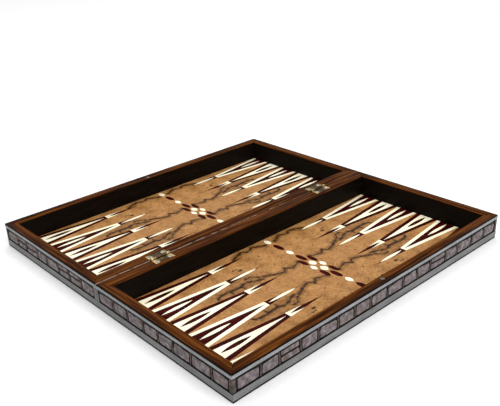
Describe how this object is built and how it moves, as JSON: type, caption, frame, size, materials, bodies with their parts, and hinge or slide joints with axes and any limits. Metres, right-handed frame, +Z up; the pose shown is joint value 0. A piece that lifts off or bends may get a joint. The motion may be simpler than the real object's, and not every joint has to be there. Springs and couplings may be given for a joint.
{
  "type": "folding backgammon board",
  "caption": "Folding backgammon board: two hinged shallow trays with inlaid playing fields and a chess board on the outer faces, walnut rims and stone-patterned edge mouldings.",
  "frame": {"origin": "bottom centre of the open board, on the surface it lies on, under the fold line", "axes": "+Z up; +Y along the hinge line; +X from the fold line towards the base tray, so the lid tray lies at -X"},
  "size_m": [0.492, 0.49, 0.0375],
  "materials": {
    "chess_face": "varnished walnut veneer with ivory and maroon inlay",
    "burl_field": "satin light walnut burl veneer",
    "black_frame": "black stained, satin",
    "walnut_rim": "satin streaked walnut",
    "stone_moulding": "embossed grey stone pattern between plain bands",
    "ivory_inlay": "polished ivory-coloured inlay",
    "maroon_inlay": "polished dark maroon inlay",
    "aged_brass": "aged brass",
    "steel": "plain bright steel"
  },
  "bodies": {
    "base": {"base_chess_panel": "chess_face", "base_playing_field": "burl_field", "base_hinge_rail": "black_frame", "base_outer_rail": "black_frame", "base_front_rail": "black_frame", "base_back_rail": "black_frame", "base_front_rim": "walnut_rim", "base_outer_rim": "walnut_rim", "base_back_rim": "walnut_rim", "base_hinge_rim": "walnut_rim", "base_outer_moulding": "stone_moulding", "base_front_moulding": "stone_moulding", "base_back_moulding": "stone_moulding", "base_magnet": "steel", "front_hinge_base_leaf": "aged_brass", "front_hinge_base_screw_1": "steel", "front_hinge_base_screw_2": "steel", "front_hinge_pin": "steel", "back_hinge_base_leaf": "aged_brass", "back_hinge_base_screw_1": "steel", "back_hinge_base_screw_2": "steel", "back_hinge_pin": "steel"},
    "lid": {"lid_chess_panel": "chess_face", "lid_playing_field": "burl_field", "lid_hinge_rail": "black_frame", "lid_outer_rail": "black_frame", "lid_front_rail": "black_frame", "lid_back_rail": "black_frame", "lid_front_rim": "walnut_rim", "lid_outer_rim": "walnut_rim", "lid_back_rim": "walnut_rim", "lid_hinge_rim": "walnut_rim", "lid_outer_moulding": "stone_moulding", "lid_front_moulding": "stone_moulding", "lid_back_moulding": "stone_moulding", "lid_magnet": "steel", "front_hinge_lid_leaf": "aged_brass", "front_hinge_lid_screw_1": "steel", "front_hinge_lid_screw_2": "steel", "back_hinge_lid_leaf": "aged_brass", "back_hinge_lid_screw_1": "steel", "back_hinge_lid_screw_2": "steel"}
  },
  "joints": [
    {"name": "fold", "type": "hinge", "parent": "base", "child": "lid", "pos_m": [0, 0, 0.0353], "axis": [0, 1, 0], "range_deg": [0, 180]}
  ]
}
